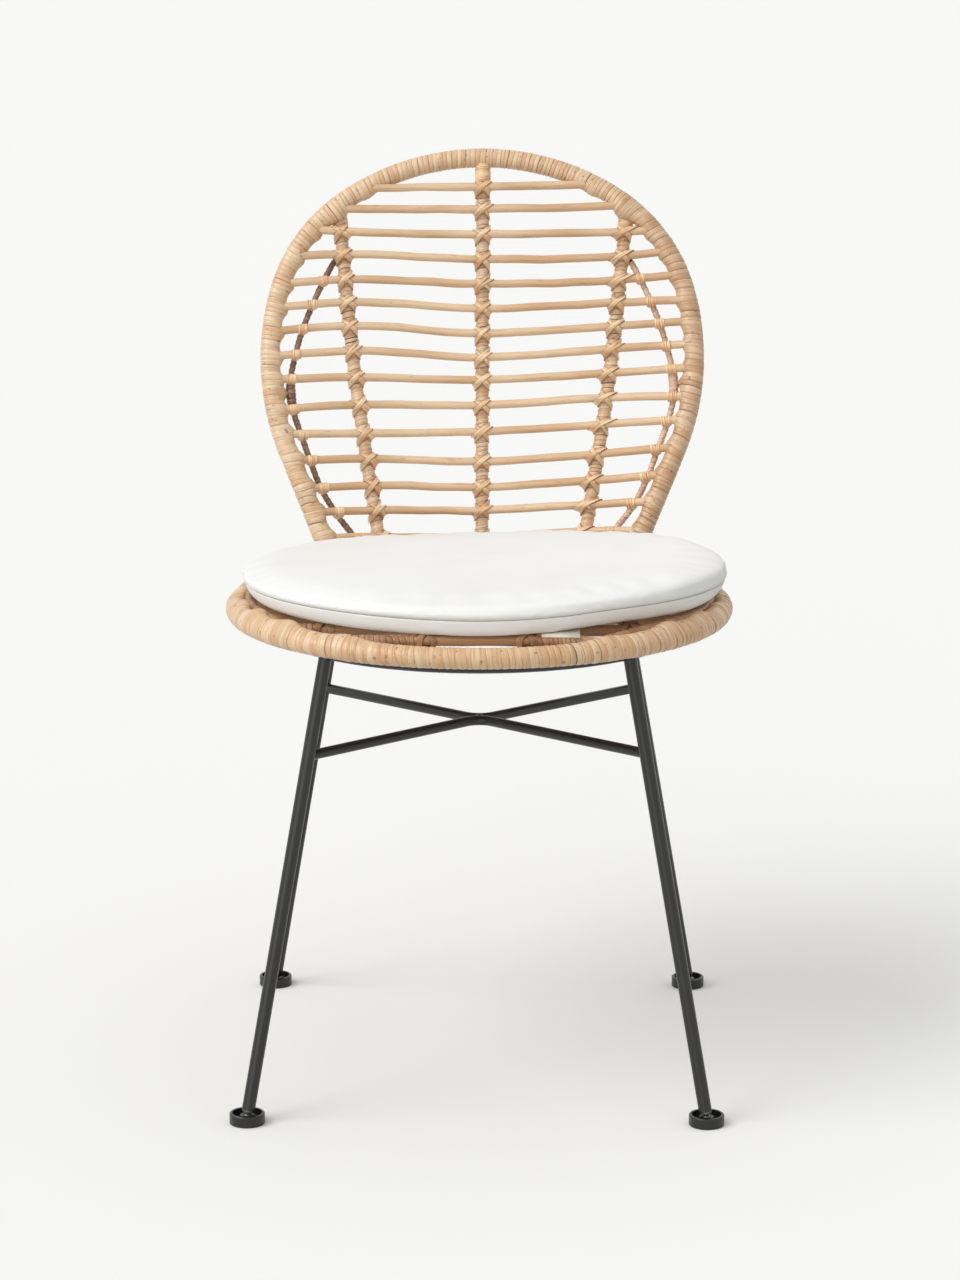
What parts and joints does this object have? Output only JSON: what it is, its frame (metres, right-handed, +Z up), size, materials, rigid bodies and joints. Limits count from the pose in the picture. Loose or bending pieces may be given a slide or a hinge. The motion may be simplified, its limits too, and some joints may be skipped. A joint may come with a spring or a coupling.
{
  "type": "side chair",
  "caption": "Armless chair with a leaning hoop back of bent canes, a round bound seat with a thin cushion, and splayed rod legs on tilting glides.",
  "frame": {"origin": "on the floor, under the middle of the chair's box", "axes": "-Y the front, +X the right seen from the front, +Z up"},
  "size_m": [0.4699, 0.5796, 0.8258],
  "materials": {
    "black_steel": "satin powder coat",
    "bolt_steel": "black zinc",
    "stud_steel": "zinc plated",
    "black_plastic": "glossy dish, matte side",
    "inner_steel": "primed, hidden under the binding",
    "cane": "natural with a clear coat",
    "binding_strip": "natural strip with a clear coat",
    "lashing_strip": "natural strip with a clear coat",
    "cover_cloth": "plain woven",
    "foam": "soft foam",
    "strap_webbing": "woven tape"
  },
  "bodies": {
    "frame": {"back_cane_01": "cane", "back_cane_02": "cane", "back_cane_03": "cane", "back_cane_04": "cane", "back_cane_05": "cane", "back_cane_06": "cane", "back_cane_07": "cane", "back_cane_08": "cane", "back_cane_09": "cane", "back_cane_10": "cane", "back_cane_11": "cane", "back_cane_12": "cane", "back_cane_13": "cane", "back_cane_14": "cane", "back_cane_15": "cane", "base_ring": "black_steel", "brace_front": "black_steel", "brace_rear": "black_steel", "brace_weld": "black_steel", "glide_studs": "stud_steel", "hoop_binding": "binding_strip", "hoop_core": "inner_steel", "hoop_wraps": "lashing_strip", "lashings_left": "lashing_strip", "lashings_middle": "lashing_strip", "lashings_right": "lashing_strip", "lashings_side_ribs": "lashing_strip", "leg_front_left": "black_steel", "leg_front_right": "black_steel", "leg_rear_left": "black_steel", "leg_rear_right": "black_steel", "mounting_bolts": "bolt_steel", "mounting_bosses": "black_steel", "mounting_tabs": "black_steel", "seat_canes": "cane", "seat_lashings": "lashing_strip", "seat_rib_bindings": "binding_strip", "seat_rib_rods": "inner_steel", "seat_ring_binding": "binding_strip", "seat_ring_core": "inner_steel", "side_rib_left_binding": "binding_strip", "side_rib_left_rod": "inner_steel", "side_rib_right_binding": "binding_strip", "side_rib_right_rod": "inner_steel", "strap_front": "strap_webbing", "strap_hoop": "strap_webbing", "upright_left_binding": "binding_strip", "upright_left_rod": "inner_steel", "upright_middle_binding": "binding_strip", "upright_middle_rod": "inner_steel", "upright_right_binding": "binding_strip", "upright_right_rod": "inner_steel"},
    "cushion": {"cushion_base_cover": "cover_cloth", "cushion_top_cover": "cover_cloth", "cushion_foam": "foam"},
    "glide_front_right": {"glide_front_right": "black_plastic"},
    "glide_front_left": {"glide_front_left": "black_plastic"},
    "glide_rear_right": {"glide_rear_right": "black_plastic"},
    "glide_rear_left": {"glide_rear_left": "black_plastic"}
  },
  "joints": [
    {"name": "cushion_lift", "type": "slide", "parent": "frame", "child": "cushion", "axis": [0, 0, 1], "range_m": [0, 0.12]},
    {"name": "glide_front_right_tilt", "type": "hinge", "parent": "frame", "child": "glide_front_right", "pos_m": [0.20697, -0.26177, 0.006], "axis": [0.7071, 0.7071, 0], "range_deg": [-6, 6]},
    {"name": "glide_front_left_tilt", "type": "hinge", "parent": "frame", "child": "glide_front_left", "pos_m": [-0.20697, -0.26177, 0.006], "axis": [0.7071, -0.7071, 0], "range_deg": [-6, 6]},
    {"name": "glide_rear_right_tilt", "type": "hinge", "parent": "frame", "child": "glide_rear_right", "pos_m": [0.20697, 0.15216, 0.006], "axis": [0.7071, -0.7071, 0], "range_deg": [-6, 6]},
    {"name": "glide_rear_left_tilt", "type": "hinge", "parent": "frame", "child": "glide_rear_left", "pos_m": [-0.20697, 0.15216, 0.006], "axis": [0.7071, 0.7071, 0], "range_deg": [-6, 6]}
  ]
}
